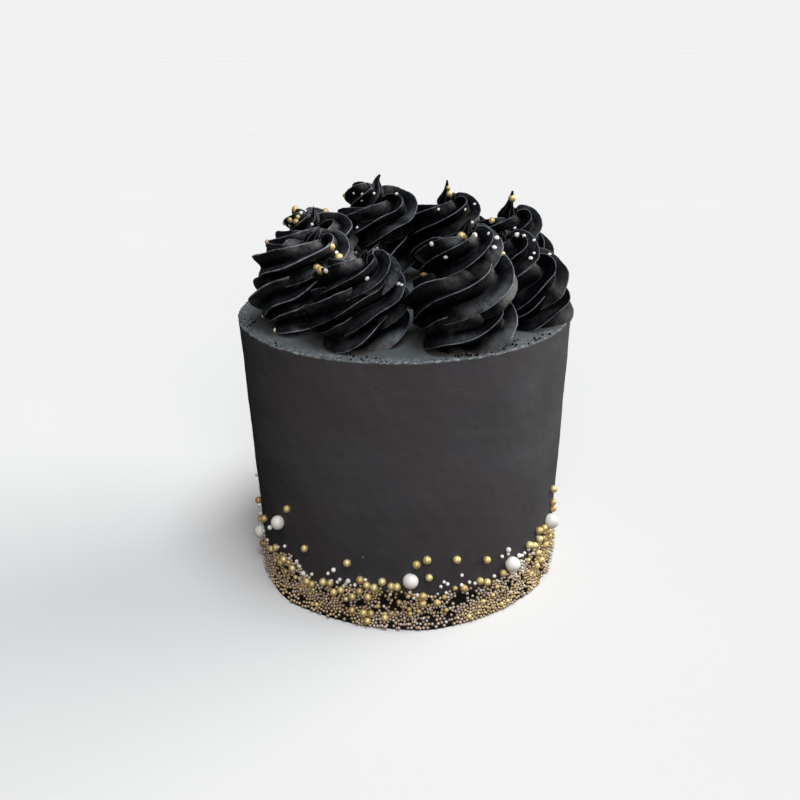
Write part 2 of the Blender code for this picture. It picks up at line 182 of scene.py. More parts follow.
# Beads on the wall and in the band, by where the picture shows them, in its pixels.
SEEN_ON_WALL = {
    "pearl": ((278, 522.5), (259, 531), (410.5, 581), (512.5, 564), (551, 521)),
    "gold": (
        (287, 509), (304.5, 548.5), (347, 563), (416.5, 564.5), (427, 560), (457, 560),
        (487, 560), (429, 577.5), (553.5, 489), (553, 502), (553, 508.5), (259, 500),
        (258.5, 519), (264.5, 518.5), (258, 544), (275.5, 547.5), (271, 549), (284, 559),
        (281, 562), (293, 568), (307, 581), (312, 584), (323, 582), (330, 583), (334, 592),
        (341, 590), (352.5, 596.5), (360, 580), (359.5, 591), (366.5, 585.5), (374, 588),
        (368, 597), (382, 582), (391, 586.5), (397, 587), (352, 610), (363.5, 612.5),
        (371, 613), (368, 620), (385, 617), (422.5, 603), (423, 596), (437, 602.5),
        (464, 588.5), (480, 581), (487, 582), (503, 573), (529.5, 545), (534.5, 545.5),
        (539.5, 539), (539, 530.5), (544, 528), (548.5, 531), (549, 536), (538, 553),
        (541, 560), (545, 545), (536, 566),
    ),
    "small_gold": (
        (289, 562), (286, 571), (296, 577), (399, 602), (419, 611), (455, 588.5), (506, 600),
        (500, 603), (510, 592), (531, 573), (528, 560), (547, 552), (543, 538), (275, 560),
        (301, 589), (346, 599), (378, 606), (392, 613), (408, 596), (446, 610),
    ),
    "white": (
        (258.5, 505), (260, 513), (270, 527.5), (348, 581), (303.5, 573), (333.5, 570),
        (508.5, 550), (519, 555.5),
    ),
    "small_white": (
        (257, 475), (312, 574), (328, 573.5), (337.5, 582), (346, 583.5), (355, 585),
        (365.5, 580), (462, 575.5), (444, 582), (447.5, 584), (469.5, 582.5), (475, 583.5),
        (494, 576), (502, 556.5), (508, 554), (522, 555.5), (521, 561), (300, 578),
        (519, 566), (515, 574), (522, 571), (290, 558), (297, 561), (300, 566),
    ),
}

# Beads on the swirls, by where the picture shows them, in its pixels.
SEEN_BEADS = {
    "gold": (
        (294.5, 207.5), (326, 210), (291, 219.5), (296.5, 221), (331, 247), (339, 257.5),
        (317, 268), (320.5, 270.5), (449, 193.5), (512, 198.5), (492, 221), (423.5, 272.5),
        (461.5, 237.5),
    ),
    "small_gold": (
        (327, 205), (450.5, 187.5), (465.5, 237.5), (502.5, 254), (263, 229), (298, 217),
    ),
    "white": (
        (284, 227), (335.5, 252.5), (326.5, 270.5), (366.5, 278.5), (398.5, 284.5), (432, 244),
        (445.5, 256.5), (474.5, 235.5), (496.5, 238.5), (494, 248), (517, 235), (530.5, 259),
        (271, 326),
    ),
    "small_white": (
        (290, 225), (534, 253.5), (549.5, 254.5), (377, 248), (356, 252.5), (402, 285.5),
        (357.5, 228), (361.5, 200), (362.5, 194.5), (354, 193), (374, 193.5), (396.5, 194),
        (438.5, 209.5), (464.5, 209.5), (474.5, 204.5), (472, 222.5), (489, 234), (515, 228.5),
        (524, 236), (534, 240.5), (312, 224.5), (306, 211.5), (301, 213), (318, 207), (260, 325),
    ),
}

# The picture's view. Its size is in pixels, and the camera aims at a point on the cake.
PICTURE = 800.0
FOCAL = 827.0
CAMERA_TILT = 23.1
CAMERA_ROLL = -1.03
CAMERA_AIM = (-3.1, 0.0, 85.5)
CAMERA_DISTANCE = 443.0
SENSOR = 36.0
FAR = 120.0
SIGHT_STEPS = 121
SIGHT_ROUNDS = 3

# Lights: name, angle round from the front, height above the floor, breadth, strength and colour.
LIGHTS = (
    ("key", 107, 16, 56, 3.9, "#fffef8"),
    ("front", 5, 32, 45, 1.9, "#fff8f4"),
    ("overhead", 45, 74, 30, 2.6, "#e8f4ff"),
)

# Half the floor's width, in metres.
FLOOR_HALF = 40.0


def smooth_curve(at, knots, values):
    """Cubic pieces through the knots whose slope at a knot is the mean slope of its neighbours."""
    knots = np.asarray(knots, float)
    values = np.asarray(values, float)
    slopes = np.gradient(values, knots)
    part = np.clip(np.searchsorted(knots, at, side="right") - 1, 0, len(knots) - 2)
    width = knots[part + 1] - knots[part]
    share = np.clip((at - knots[part]) / width, 0.0, 1.0)
    start, end = values[part], values[part + 1]
    rise = share * share * (3 - 2 * share)
    lead_in = share * (1 - share) ** 2 * width * slopes[part]
    lead_out = share * share * (share - 1) * width * slopes[part + 1]
    return start + (end - start) * rise + lead_in + lead_out


def ripple(points, size, seed, waves=24):
    """A smooth random height for each point, mostly within -1 and 1.

    It is a sum of cosine waves in random directions, each 0.7 to 1.5 times the given size long.
    """
    draw = np.random.default_rng(seed)
    ways = draw.normal(size=(waves, 3))
    ways /= np.linalg.norm(ways, axis=1, keepdims=True)
    ways *= 2 * math.pi / (size * draw.uniform(0.7, 1.5, (waves, 1)))
    phases = draw.uniform(0, 2 * math.pi, waves)
    return np.cos(points @ ways.T + phases).sum(axis=-1) * math.sqrt(1 / waves)


def ripples(points, rows):
    """The sum of several ripples, from rows of height, length and seed."""
    return sum(high * ripple(points, size, seed) for high, size, seed in rows)


def mesh_piece(name, points, faces, surface, slot, **attributes):
    """A smooth piece in metres from points in millimetres, with a number for each point by name."""
    mesh = bpy.data.meshes.new(name)
    mesh.from_pydata((np.asarray(points) * MM).tolist(), [], faces)
    for attribute, values in attributes.items():
        layer = mesh.attributes.new(attribute, "FLOAT", "POINT")
        layer.data.foreach_set("value", np.asarray(values, np.float32))
    mesh.shade_smooth()
    mesh.materials.append(surface)
    piece = bpy.data.objects.new(name, mesh)
    bpy.context.scene.collection.objects.link(piece)
    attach(piece, "root")
    return piece


def closed_grid(grid, first_pole, last_pole):
    """Points and faces of a grid whose rows close on themselves, shut by a pole at either end."""
    rows, columns = grid.shape[:2]
    row = np.arange(rows - 1)[:, None] * columns
    this = np.arange(columns)[None, :]
    beside = (this + 1) % columns
    quads = np.stack([row + this, row + beside, row + columns + beside, row + columns + this], -1)
    this, beside = this[0], beside[0]
    pole = np.full(columns, rows * columns)
    last = (rows - 1) * columns
    first_fan = np.stack([beside, this, pole], -1)
    last_fan = np.stack([last + this, last + beside, pole + 1], -1)
    points = np.vstack([grid.reshape(-1, 3), first_pole, last_pole])
    faces = quads.reshape(-1, 4).tolist() + first_fan.tolist() + last_fan.tolist()
    return points, faces


def section(angle_turned, outward, over):
    """Unit ways out from the rope's middle, at each angle of its section."""
    level = np.cos(angle_turned)[..., None] * outward[:, None, :]
    return level + np.sin(angle_turned)[..., None] * over[:, None, :]


def swirl_rope(swirl, seed):
    """The rope's skin as a grid, its middle line, and how near each point is to a ridge's crest.

    The middle line is a coil that climbs as it shrinks and ends in a thin peak. The section is a
    star: from each rounded crest its radius falls by the flute's depth, as a sine to a power. It
    turns steadily along the rope, and the ridges wander and swell a little.
    """
    _, centre, tip, base_radius, height, start_angle, shoulder, peak, curl, cut = swirl
    turns = np.linspace(0.0, COIL_TURNS[-1], ROPE_STEPS)
    angle = math.radians(start_angle) + 2 * math.pi * turns
    radius = np.maximum(smooth_curve(turns, COIL_TURNS, COIL_RADIUS), 0.0)
    broad = np.clip((turns - BROAD_FROM) / BROAD_RISE, 0, 1)
    broad *= np.clip((BROAD_TO - turns) / BROAD_FALL, 0, 1)
    radius = base_radius * radius * (1 + shoulder * broad)
    up = height * smooth_curve(turns, COIL_TURNS, COIL_HEIGHT)
    thick = base_radius * smooth_curve(turns, COIL_TURNS, ROPE_RADIUS)
    thick = thick * np.sqrt(np.clip(turns / ROPE_END_TURN, 0.02, 1.0))
    path = np.stack([radius * np.cos(angle), radius * np.sin(angle), up], axis=1)
    lean = np.subtract(tip, centre)
    path[:, :2] += np.outer(np.clip(up / height - LEAN_START, 0, 1) / (1 - LEAN_START), lean)
    last = np.clip((turns - PEAK_START) / (COIL_TURNS[-1] - PEAK_START), 0, 1)
    path[:, 2] += peak * last**1.5
    path[:, :2] += np.outer(last**4, curl)

    along = np.gradient(path, axis=0)
    along /= np.linalg.norm(along, axis=1, keepdims=True)
    outward = np.stack([np.cos(angle), np.sin(angle), 0 * angle], axis=1)
    outward -= along * np.sum(outward * along, axis=1, keepdims=True)
    outward /= np.linalg.norm(outward, axis=1, keepdims=True)
    over = np.cross(outward, along)

    # Points crowd towards the crests, where the section bends most.
    step = np.arange(POINTS_PER_RIDGE) / POINTS_PER_RIDGE
    share = np.tile(step - CREST_CROWDING * np.sin(2 * math.pi * step) / (2 * math.pi), RIDGES)
    ridge = np.repeat(np.arange(RIDGES), POINTS_PER_RIDGE)
    around = 2 * math.pi * (ridge + share) / RIDGES
    from_crest = 2 * np.minimum(share, 1 - share)
    from_crest = np.sqrt(from_crest**2 + CREST_ROUNDING**2) - CREST_ROUNDING
    fall = np.sin(0.5 * math.pi * np.clip(from_crest, 0, 1)) ** cut

    # The rope swells, its flutes deepen and its ridges wander, in ripples of these lengths.
    turned = around[None, :] + RIDGE_TWIST * 2 * math.pi * turns[:, None]
    middle = path[:, None, :]
    outer = middle + thick[:, None, None] * section(turned, outward, over)
    swell = 1 + 0.03 * ripple(outer, 16.0, seed) + 0.008 * ripple(outer, 3.0, seed + 1)
    depth = FLUTE_DEPTH * (1 + 0.2 * ripple(outer, 24.0, seed + 2))
    wander = RIDGE_WANDER * ripple(outer, 32.0, seed + 3)
    reach = thick[:, None] * (swell - depth * fall[None, :])
    grid = middle + reach[..., None] * section(turned + wander, outward, over)
    grid[..., 2] = np.maximum(grid[..., 2], -PRESSED_IN - REST_GAP)
    crest = np.repeat((1 - fall)[None, :], ROPE_STEPS, axis=0)
    return grid, path, crest


def make_swirl(number, swirl, surface):
    """One swirl as a closed rope, standing on the top of the cake."""
    name, centre = swirl[:2]
    grid, path, crest = swirl_rope(swirl, 40 + 5 * number)
    foot = np.array([*centre, CAKE_HEIGHT + REST_GAP])
    points, faces = closed_grid(grid + foot, path[0] + foot, path[-1] + foot)
    crests = np.concatenate([crest.ravel(), [0.0, 1.0]])
    dryness = np.full(len(points), SWIRL_SHEEN[name])
    piece = mesh_piece(
        "piped_" + name, points, faces, surface, "buttercream", crest=crests, dryness=dryness
    )
    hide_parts(name)
    return piece


def wall_radius(height):
    """The wall's radius at a height, on a straight line from foot to rim."""
    return BOTTOM_RADIUS + (TOP_RADIUS - BOTTOM_RADIUS) * height / CAKE_HEIGHT


def band_at(values, angles):
    """One row of the band's table at angles in degrees. The far half repeats the near one."""
    near = np.mod(np.asarray(angles) + 180, 180) - 180
    return smooth_curve(near, BAND_ANGLES, values)


def bank_out(angle, height):
    """How far the bank stands out from the wall: its reach, falling off as a curve to its top."""
    share = np.clip(1 - height / BANK_HEIGHT, 0, 1)
    return band_at(BAND_REACHES, np.degrees(angle)) * share**1.6


def make_coat(surface):
    """The coat as one turned surface: underside, bank, wall, rounded rim with a thin lip, and top.

    The outline is radius and height, row by row. The wall then waves a little in and out, the
    rim is chipped by short ripples, and the top rolls softly.
    """
    angle = 2 * math.pi * np.arange(COAT_AROUND) / COAT_AROUND
    wall_heights = np.concatenate([
        np.linspace(0.0, BANK_HEIGHT, 10)[:-1],
        np.linspace(BANK_HEIGHT, CAKE_HEIGHT - CLOSE_ROWS_BELOW, 90)[:-1],
        np.linspace(CAKE_HEIGHT - CLOSE_ROWS_BELOW, CAKE_HEIGHT - RIM_ROUNDING, 10),
    ])
    turn = np.linspace(0, 0.5 * math.pi, 8)[1:]
    rim_radii = TOP_RADIUS - RIM_ROUNDING * (1 - np.cos(turn))
    rim_heights = CAKE_HEIGHT - RIM_ROUNDING * (1 - np.sin(turn))
    top_radii = np.concatenate([
        np.linspace(TOP_RADIUS - RIM_ROUNDING, TOP_RADIUS - CLOSE_ROWS_INSIDE, 16)[1:],
        np.linspace(TOP_RADIUS - CLOSE_ROWS_INSIDE, 1.0, 44)[1:],
    ])
    under_radii = np.linspace(2.0, BOTTOM_RADIUS - 2.0, 5)
    radii = np.concatenate([under_radii, wall_radius(wall_heights), rim_radii, top_radii])
    heights = np.concatenate([0 * under_radii, wall_heights, rim_heights, CAKE_HEIGHT + 0 * top_radii])
    radius = np.repeat(radii[:, None], COAT_AROUND, axis=1)
    height = np.repeat(heights[:, None], COAT_AROUND, axis=1)
    first_wall, last_wall = len(under_radii), len(under_radii) + len(wall_heights)
    on_wall = np.zeros(len(radii))
    on_wall[first_wall:last_wall + len(turn)] = 1.0
    on_top = np.zeros(len(radii))
    on_top[last_wall:] = 1.0

    still = np.stack([radius * np.cos(angle), radius * np.sin(angle), height], axis=-1)
    radius += on_wall[:, None] * ripples(still, WALL_WAVES)
    radius += on_wall[:, None] * np.maximum(bank_out(angle[None, :], height) - BANK_SUNK, 0)
    near_rim = np.exp(-(((TOP_RADIUS - radii) / LIP_WIDTH) ** 2)) * on_top
    chips = np.clip(ripples(still, RIM_CHIPS), -1.2, 1.0)
    height += near_rim[:, None] * LIP_HEIGHT * (0.35 + 0.55 * chips)
    radius += near_rim[:, None] * ripples(still, LIP_WAVES)
    height += (on_top * (1 - near_rim))[:, None] * (ripples(still, TOP_ROLL) - TOP_SUNK)
    grid = np.stack([radius * np.cos(angle), radius * np.sin(angle), height], axis=-1)
    points, faces = closed_grid(grid, (0, 0, 0), (0, 0, CAKE_HEIGHT - TOP_SUNK))

    # What the material reads: the paler rim, the top, and the painted shade at the foot.
    paler_share = np.exp(-(((TOP_RADIUS - radii) / PALER_RIM_WIDTH) ** 2)) * on_top
    rim = np.append(np.repeat(paler_share, COAT_AROUND), [0.0, 0.0])
    top = np.append(np.repeat(on_top, COAT_AROUND), [0.0, 1.0])
    damp = np.clip((band_at(BAND_TOPS, np.degrees(angle)) + 1.0 - height) / FOOT_SHADE_FADE, 0, 1)
    darker = DARKER_SHARE * np.clip((DARKER_END - height) / (DARKER_END - DARKER_FULL), 0, 1)
    damp = np.append(np.maximum(damp, darker).ravel(), [1.0, 0.0])
    piece = mesh_piece(
        "smoothed_coat", points, faces, surface, "icing", rim=rim, top=top, damp=damp
    )
    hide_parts("cake")
    return piece


def ball(divisions):
    """Points and faces of a unit ball of triangles."""
    shape = bmesh.new()
    bmesh.ops.create_icosphere(shape, subdivisions=divisions, radius=1.0)
    points = np.array([vertex.co for vertex in shape.verts])
    faces = np.array([[vertex.index for vertex in face.verts] for face in shape.faces])
    shape.free()
    return points, faces


def bead_piece(name, centres, radii, divisions, surface, slot, seed):
    """Many beads as one mesh: copies of a ball, each scaled, slightly out of round and with a tone."""
    draw = np.random.default_rng(seed)
    points, faces = ball(divisions)
    count = len(centres)
    uneven = draw.normal(1.0, 0.025, (count, 1, 3))
    all_points = centres[:, None, :] + radii[:, None, None] * uneven * points[None]
    all_faces = faces[None] + len(points) * np.arange(count)[:, None, None]
    tone = np.repeat(draw.uniform(0, 1, count), len(points))
    return mesh_piece(
        name, all_points.reshape(-1, 3), all_faces.reshape(-1, 3).tolist(), surface, slot, tone=tone
    )


def on_wall(kind, angles, heights):
    """Centres of beads pressed into the wall, or into the bank at its foot."""
    diameter, _, sunk = BEADS[kind]
    turn = np.radians(np.asarray(angles, float))
    height = np.asarray(heights, float)
    radius = wall_radius(height) + bank_out(turn, height) + (0.5 - sunk) * diameter
    return np.stack([radius * np.cos(turn), radius * np.sin(turn), height], axis=-1)


def settle_band(taken):
    """Angles and heights of the nonpareils.

    They start at random, thicker towards the foot, and some of the upper ones are left out by
    the band's bare share. Then, round by round, beads that lie too close push each other apart,
    as do the larger beads that already lie there.
    """
    draw = np.random.default_rng(SEED)
    diameter = BEADS["nonpareil"][0]
    length = 2 * math.pi * BOTTOM_RADIUS
    along = draw.uniform(0, length, NONPAREILS)
    share = draw.uniform(0, 1, NONPAREILS) ** GATHERED
    angles = np.degrees(along / BOTTOM_RADIUS)
    least = diameter * draw.uniform(0.62, 0.95, NONPAREILS)
    heights = least + share * (band_at(BAND_TOPS, angles) - least)
    bare = band_at(BAND_BARE, angles) * np.clip(2 * share - 0.3, 0, 1)
    kept = draw.uniform(0, 1, NONPAREILS) > bare
    along, heights, least = along[kept], heights[kept], least[kept]
    fixed_along = np.mod(np.radians(taken[:, 0]) * BOTTOM_RADIUS, length)
    for _ in range(SETTLING_ROUNDS):
        apart_along = along[:, None] - along[None, :]
        apart_along -= length * np.round(apart_along / length)
        apart_up = heights[:, None] - heights[None, :]
        distance = np.hypot(apart_along, apart_up) + np.eye(len(along)) * FAR + 1e-6
        push = PUSH_SHARE * np.clip(SPACING * diameter - distance, 0, None) / distance
        move_along = (push * apart_along).sum(axis=1)
        move_up = (push * apart_up).sum(axis=1)
        apart_along = along[:, None] - fixed_along[None, :]
        apart_along -= length * np.round(apart_along / length)
        apart_up = heights[:, None] - taken[None, :, 1]
        distance = np.hypot(apart_along, apart_up) + 1e-6
        room = 0.5 * taken[None, :, 2] + SPACING_BESIDE * diameter
        push = np.clip(room - distance, 0, None) / distance
        move_along += (push * apart_along).sum(axis=1)
        move_up += (push * apart_up).sum(axis=1)
        along = along + np.clip(move_along, -LONGEST_PUSH, LONGEST_PUSH)
        heights = np.maximum(heights + np.clip(move_up, -LONGEST_PUSH, LONGEST_PUSH), least)
    return np.degrees(along / BOTTOM_RADIUS), heights


def tree_of(pieces):
    """A search tree of finished pieces, in millimetres."""
    points, faces = [], []
    for piece in pieces:
        first = len(points)
        points += [vertex.co / MM for vertex in piece.data.vertices]
        faces += [tuple(first + corner for corner in face.vertices) for face in piece.data.polygons]
    return BVHTree.FromPolygons(points, faces)


def view_axes():
    """The camera's place in millimetres, and the ways to its right, up and ahead."""
    tilt, roll = math.radians(CAMERA_TILT), math.radians(CAMERA_ROLL)
    ahead = Vector((0, math.cos(tilt), -math.sin(tilt)))
    level = Vector((1, 0, 0))
    above = level.cross(ahead)
    right = math.cos(roll) * level + math.sin(roll) * above
    above = math.cos(roll) * above - math.sin(roll) * level
    return Vector(CAMERA_AIM) - CAMERA_DISTANCE * ahead, right, above, ahead


def seen_at(tree, across, down, out, half_round=False):
    """The middle of a bead that lies on the tree and shows at a pixel, out from the skin by a length.

    A line of sight that just misses takes the nearest point to it. The line then moves aside by
    what the bead's middle misses it by. Half round, it comes from behind.
    """
    start, right, above, ahead = view_axes()
    way = ahead + right * (across - 0.5 * PICTURE) / FOCAL - above * (down - 0.5 * PICTURE) / FOCAL
    way.normalize()
    if half_round:
        behind = Matrix.Rotation(math.pi, 3, "Z")
        start, way = behind @ start, behind @ way
    place = start
    for _ in range(SIGHT_ROUNDS):
        hit, normal, _, _ = tree.ray_cast(place, way, 2 * CAMERA_DISTANCE)
        if hit is None:
            steps = np.linspace(CAMERA_DISTANCE - FAR, CAMERA_DISTANCE + FAR, SIGHT_STEPS)
            found = [tree.find_nearest(place + step * way) for step in steps.tolist()]
            hit, normal, _, _ = min(found, key=lambda near: near[3])
        centre = hit + out * normal
        aside = centre - start
        place = place - (aside - way * aside.dot(way))
    return centre


def in_sight(tree, centre, radius):
    """Whether the middle, the upper edge or a side of a bead shows in the picture's view.

    Each sight line stops short of the bead, so that what it lies on doesn't count as in the way.
    """
    place, right, above, _ = view_axes()
    edges = (radius * above, radius * right, -radius * right)
    for point in (centre, *(centre + edge for edge in edges)):
        way = point - place
        if tree.ray_cast(place, way.normalized(), way.length - 1.5 * radius)[0] is None:
            return True
    return False


def linear(code):
    """An sRGB hex colour as the linear colour that a shader takes."""
    parts = [int(code[place:place + 2], 16) / 255 for place in (1, 3, 5)]
    return tuple(
        part / 12.92 if part <= 0.04045 else ((part + 0.055) / 1.055) ** 2.4 for part in parts
    ) + (1.0,)


def add(tree, kind, inputs=None, **settings):
    """Adds a node with its settings. An input is a value, or another node's output to link."""
    node = tree.nodes.new(kind)
    for name, value in settings.items():
        setattr(node, name, value)
    for name, value in (inputs or {}).items():
        if isinstance(value, bpy.types.NodeSocket):
            tree.links.new(value, node.inputs[name])
        else:
            node.inputs[name].default_value = value
    return node


def new_material(name):
    """An empty material and its node tree."""
    made = bpy.data.materials.new(name)
    made.use_nodes = True
    made.node_tree.nodes.clear()
    return made, made.node_tree


def close_material(tree, inputs):
    """Ends a material with its shader and its output."""
    shader = add(tree, "ShaderNodeBsdfPrincipled", inputs)
    add(tree, "ShaderNodeOutputMaterial", {"Surface": shader.outputs["BSDF"]})


def smoothed_buttercream():
    """Black buttercream, chilled and scraped smooth: a dry matte skin, grained and pitted."""
    made, tree = new_material("smoothed_buttercream")
    place = add(tree, "ShaderNodeTexCoord").outputs["Object"]

    # Faint rings left by the scraper, about 14 mm apart, and clouds of 26 mm where fat came up.
    rings = add(tree, "ShaderNodeMapping", {"Vector": place, "Scale": (8.0, 8.0, 70.0)})
    streaks = add(tree, "ShaderNodeTexNoise", {
        "Vector": rings.outputs["Vector"], "Scale": 1.0, "Detail": 4.0, "Roughness": 0.6})
    clouds = add(tree, "ShaderNodeTexNoise", {
        "Vector": place, "Scale": 38.0, "Detail": 3.0, "Roughness": 0.55})
    both = add(tree, "ShaderNodeMath", {0: streaks.outputs["Fac"], 1: clouds.outputs["Fac"]},
               operation="MULTIPLY")
    share = add(tree, "ShaderNodeMapRange", {
        "Value": both.outputs["Value"], "From Min": 0.14, "From Max": 0.38})
    skin = add(tree, "ShaderNodeMix", {
        "Factor": share.outputs["Result"], 6: linear("#3f3f41"), 7: linear("#4a4a4d")},
        data_type="RGBA")

    # Grease gives patches of a plum or a grey cast, some 60 mm across.
    cast = add(tree, "ShaderNodeTexNoise", {"Vector": place, "Scale": 16.0, "Detail": 2.0})
    warm = add(tree, "ShaderNodeMapRange", {
        "Value": cast.outputs["Fac"], "From Min": 0.42, "From Max": 0.62})
    tinted = add(tree, "ShaderNodeMix", {
        "Factor": warm.outputs["Result"], 6: skin.outputs[2], 7: linear("#464346")},
        data_type="RGBA")

    # The top is painted cooler and a little paler, as painted light from above where it faces up.
    top = add(tree, "ShaderNodeAttribute", attribute_name="top")
    level = add(tree, "ShaderNodeMath", {0: top.outputs["Fac"], 1: 0.8}, operation="MULTIPLY")
    topped = add(tree, "ShaderNodeMix", {
        "Factor": level.outputs["Value"], 6: tinted.outputs[2], 7: linear("#505454")},
        data_type="RGBA")

    # The top near the rim is paler, in flecks of 1 to 2 mm.
    rim = add(tree, "ShaderNodeAttribute", attribute_name="rim")
    flecks = add(tree, "ShaderNodeTexNoise", {
        "Vector": place, "Scale": 620.0, "Detail": 3.0, "Roughness": 0.7})
    frosted = add(tree, "ShaderNodeMapRange", {
        "Value": flecks.outputs["Fac"], "From Min": 0.47, "From Max": 0.68})
    dry = add(tree, "ShaderNodeMath", {0: rim.outputs["Fac"], 1: frosted.outputs["Result"]},
              operation="MULTIPLY")
    rimmed = add(tree, "ShaderNodeMix", {
        "Factor": dry.outputs["Value"], 6: topped.outputs[2], 7: linear("#888c8e")},
        data_type="RGBA")

    # Pits where air burst, up to 1.3 mm wide, painted dark inside as painted shade, with a few specks
    # of sugar beside them.
    pits = add(tree, "ShaderNodeTexVoronoi", {"Vector": place, "Scale": 230.0, "Randomness": 1.0})
    marks = add(tree, "ShaderNodeSeparateColor", {"Color": pits.outputs["Color"]})
    crowd = add(tree, "ShaderNodeMapRange", {
        "Value": clouds.outputs["Fac"], "From Min": 0.35, "From Max": 0.7,
        "To Min": 0.98, "To Max": 0.72})
    chosen = add(tree, "ShaderNodeMath", {0: marks.outputs["Red"], 1: crowd.outputs["Result"]},
                 operation="LESS_THAN")
    width = add(tree, "ShaderNodeMapRange", {
        "Value": marks.outputs["Blue"], "To Min": 0.03, "To Max": 0.15})
    hole = add(tree, "ShaderNodeMapRange", {
        "Value": pits.outputs["Distance"], "From Min": 0.01, "From Max": width.outputs["Result"]})
    filled = add(tree, "ShaderNodeMath", {0: hole.outputs["Result"], 1: chosen.outputs["Value"]},
                 operation="MAXIMUM")
    specked = add(tree, "ShaderNodeMath", {0: marks.outputs["Green"], 1: 0.985},
                  operation="GREATER_THAN")
    inside = add(tree, "ShaderNodeMath", {0: pits.outputs["Distance"], 1: 0.13},
                 operation="LESS_THAN")
    speck = add(tree, "ShaderNodeMath", {0: specked.outputs["Value"], 1: inside.outputs["Value"]},
                operation="MULTIPLY")
    pitted = add(tree, "ShaderNodeMix", {
        "Factor": filled.outputs["Value"], 6: linear("#222224"), 7: rimmed.outputs[2]},
        data_type="RGBA")
    specks = add(tree, "ShaderNodeMix", {
        "Factor": speck.outputs["Value"], 6: pitted.outputs[2], 7: linear("#77777a")},
        data_type="RGBA")

    # Painted shade: nearly black under the sprinkles, between them, and darker towards the bottom.
    damp = add(tree, "ShaderNodeAttribute", attribute_name="damp")
    colour = add(tree, "ShaderNodeMix", {
        "Factor": damp.outputs["Fac"], 6: specks.outputs[2], 7: linear("#120f0d")},
        data_type="RGBA")

    roughness = add(tree, "ShaderNodeMapRange", {
        "Value": clouds.outputs["Fac"], "From Min": 0.3, "From Max": 0.7,
        "To Min": 0.62, "To Max": 0.78})
    grain = add(tree, "ShaderNodeTexNoise", {
        "Vector": place, "Scale": 700.0, "Detail": 4.0, "Roughness": 0.65})
    height = add(tree, "ShaderNodeMath", {0: grain.outputs["Fac"], 1: 0.45, 2: filled.outputs["Value"]},
                 operation="MULTIPLY_ADD")
    bump = add(tree, "ShaderNodeBump", {
        "Height": height.outputs["Value"], "Strength": 0.6, "Distance": 0.0004})
    close_material(tree, {
        "Base Color": colour.outputs[2], "Roughness": roughness.outputs["Result"],
        "Specular IOR Level": 0.15, "Normal": bump.outputs["Normal"]})
    return made


def piped_buttercream():
    """Black buttercream squeezed through a star nozzle: satin flutes, painted crest highlights and sheen.
    """
    made, tree = new_material("piped_buttercream")
    place = add(tree, "ShaderNodeTexCoord").outputs["Object"]
    crest = add(tree, "ShaderNodeAttribute", attribute_name="crest")
    clouds = add(tree, "ShaderNodeTexNoise", {
        "Vector": place, "Scale": 150.0, "Detail": 6.0, "Roughness": 0.68})
    # Painted highlight: a thin pale line painted along each crest, in patches, as the glint of light on
    # it.
    edge = add(tree, "ShaderNodeMapRange", {
        "Value": crest.outputs["Fac"], "From Min": 0.925, "From Max": 1.0})
    paler_share = add(tree, "ShaderNodeMapRange", {
        "Value": clouds.outputs["Fac"], "From Min": 0.30, "From Max": 0.64})
    share = add(tree, "ShaderNodeMath", {0: edge.outputs["Result"], 1: paler_share.outputs["Result"]},
                operation="MULTIPLY")

    # A grey painted sheen on the raised skin, in patches of 7 mm that break up finely, more of it on
    # swirls given more sheen, which shine more there too. The flutes between get little and stay black.
    dryness = add(tree, "ShaderNodeAttribute", attribute_name="dryness")
    raised = add(tree, "ShaderNodeMapRange", {
        "Value": crest.outputs["Fac"], "From Min": 0.08, "From Max": 0.6, "To Min": 0.06})
    raised_sheen = add(tree, "ShaderNodeMath", {0: raised.outputs["Result"], 1: dryness.outputs["Fac"]},
                 operation="MULTIPLY")
    patches = add(tree, "ShaderNodeMath", {0: paler_share.outputs["Result"], 1: raised_sheen.outputs["Value"]},
                  operation="MULTIPLY")
    painted_sheen_share = add(tree, "ShaderNodeMath", {0: patches.outputs["Value"], 1: 0.29}, operation="MULTIPLY")
    skin = add(tree, "ShaderNodeMix", {
        "Factor": painted_sheen_share.outputs["Value"], 6: linear("#020204"), 7: linear("#26272d")},
        data_type="RGBA")
    # The crests' painted highlight goes over the skin.
    colour = add(tree, "ShaderNodeMix", {
        "Factor": share.outputs["Value"], 6: skin.outputs[2], 7: linear("#8b8f98")},
        data_type="RGBA")
    shine = add(tree, "ShaderNodeMapRange", {
        "Value": patches.outputs["Value"], "To Min": 0.04, "To Max": 0.58})
    grain = add(tree, "ShaderNodeTexNoise", {
        "Vector": place, "Scale": 950.0, "Detail": 3.0, "Roughness": 0.65})
    bump = add(tree, "ShaderNodeBump", {
        "Height": grain.outputs["Fac"], "Strength": 0.6, "Distance": 0.0003})
    roughness = add(tree, "ShaderNodeMapRange", {
        "Value": clouds.outputs["Fac"], "From Min": 0.3, "From Max": 0.7,
        "To Min": 0.34, "To Max": 0.50})
    close_material(tree, {
        "Base Color": colour.outputs[2], "Roughness": roughness.outputs["Result"],
        "Specular IOR Level": shine.outputs["Result"], "Normal": bump.outputs["Normal"]})
    return made


